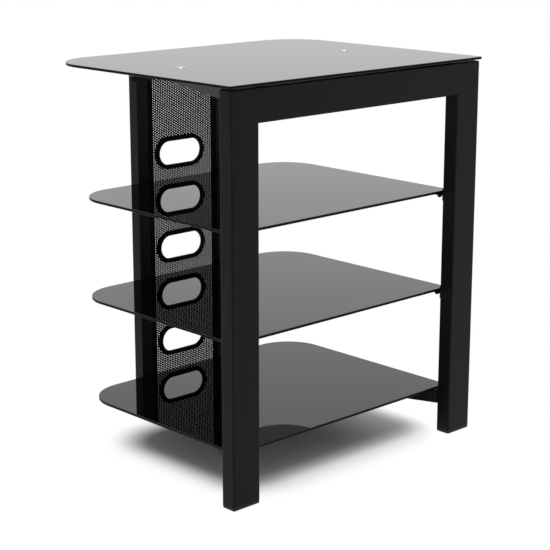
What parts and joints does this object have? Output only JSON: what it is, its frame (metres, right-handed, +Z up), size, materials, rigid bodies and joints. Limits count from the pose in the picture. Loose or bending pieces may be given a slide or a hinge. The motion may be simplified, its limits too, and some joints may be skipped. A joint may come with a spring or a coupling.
{
  "type": "audio equipment rack",
  "caption": "Free-standing audio equipment rack with black glass shelves, a steel tube front frame and a perforated rear panel with slots for cables.",
  "frame": {"origin": "on the floor, under the middle of the rack", "axes": "+Z up, +Y to the back where the cable panel is, +X to the right seen from the front"},
  "size_m": [0.622, 0.51, 0.7185],
  "materials": {
    "black_powder_coat": "satin black powder coat",
    "perforated_sheet": "matt black powder coat on perforated sheet",
    "black_glass": "polished black tempered glass",
    "black_plastic": "moulded, fine satin",
    "black_rubber": "matt",
    "black_screw": "black zinc plate",
    "satin_metal": "satin nickel plate"
  },
  "bodies": {
    "rack_frame": {"leg_left": "black_powder_coat", "leg_right": "black_powder_coat", "top_bar": "black_powder_coat", "leg_foot_left": "black_plastic", "leg_foot_right": "black_plastic", "post_left": "black_powder_coat", "post_right": "black_powder_coat", "post_foot_left": "black_plastic", "post_foot_right": "black_plastic", "post_plug_left": "black_plastic", "post_plug_right": "black_plastic", "cable_panel": "perforated_sheet", "grommet_upper": "black_plastic", "grommet_middle": "black_plastic", "grommet_lower": "black_plastic", "arm_top_left": "black_powder_coat", "arm_top_right": "black_powder_coat", "arm_bottom_left": "black_powder_coat", "arm_bottom_right": "black_powder_coat", "top_glass": "black_glass", "cap_bolt_left": "satin_metal", "cap_bolt_right": "satin_metal", "washer_left": "black_rubber", "washer_right": "black_rubber", "top_pad_front_left": "black_rubber", "top_pad_front_right": "black_rubber", "top_pad_rear_left": "black_rubber", "top_pad_rear_right": "black_rubber", "bottom_pad_front_left": "black_rubber", "bottom_pad_front_right": "black_rubber", "bottom_pad_rear_left": "black_rubber", "bottom_pad_rear_right": "black_rubber", "bracket_upper_front_left": "black_powder_coat", "bracket_upper_front_right": "black_powder_coat", "bracket_upper_rear_left": "black_powder_coat", "bracket_upper_rear_right": "black_powder_coat", "bracket_middle_front_left": "black_powder_coat", "bracket_middle_front_right": "black_powder_coat", "bracket_middle_rear_left": "black_powder_coat", "bracket_middle_rear_right": "black_powder_coat", "bumper_upper_front_left": "black_rubber", "bumper_upper_front_right": "black_rubber", "bumper_upper_rear_left": "black_rubber", "bumper_upper_rear_right": "black_rubber", "bumper_middle_front_left": "black_rubber", "bumper_middle_front_right": "black_rubber", "bumper_middle_rear_left": "black_rubber", "bumper_middle_rear_right": "black_rubber", "screw_upper_front_left": "black_screw", "screw_upper_front_right": "black_screw", "screw_upper_rear_left": "black_screw", "screw_upper_rear_right": "black_screw", "screw_middle_front_left": "black_screw", "screw_middle_front_right": "black_screw", "screw_middle_rear_left": "black_screw", "screw_middle_rear_right": "black_screw"},
    "upper_shelf": {"shelf_upper": "black_glass"},
    "middle_shelf": {"shelf_middle": "black_glass"},
    "bottom_shelf": {"shelf_bottom": "black_glass"}
  },
  "joints": [
    {"name": "upper_shelf_lift", "type": "slide", "parent": "rack_frame", "child": "upper_shelf", "axis": [0, 0, 1], "range_m": [0, 0.02]},
    {"name": "middle_shelf_lift", "type": "slide", "parent": "rack_frame", "child": "middle_shelf", "axis": [0, 0, 1], "range_m": [0, 0.02]},
    {"name": "bottom_shelf_lift", "type": "slide", "parent": "rack_frame", "child": "bottom_shelf", "axis": [0, 0, 1], "range_m": [0, 0.02]}
  ]
}
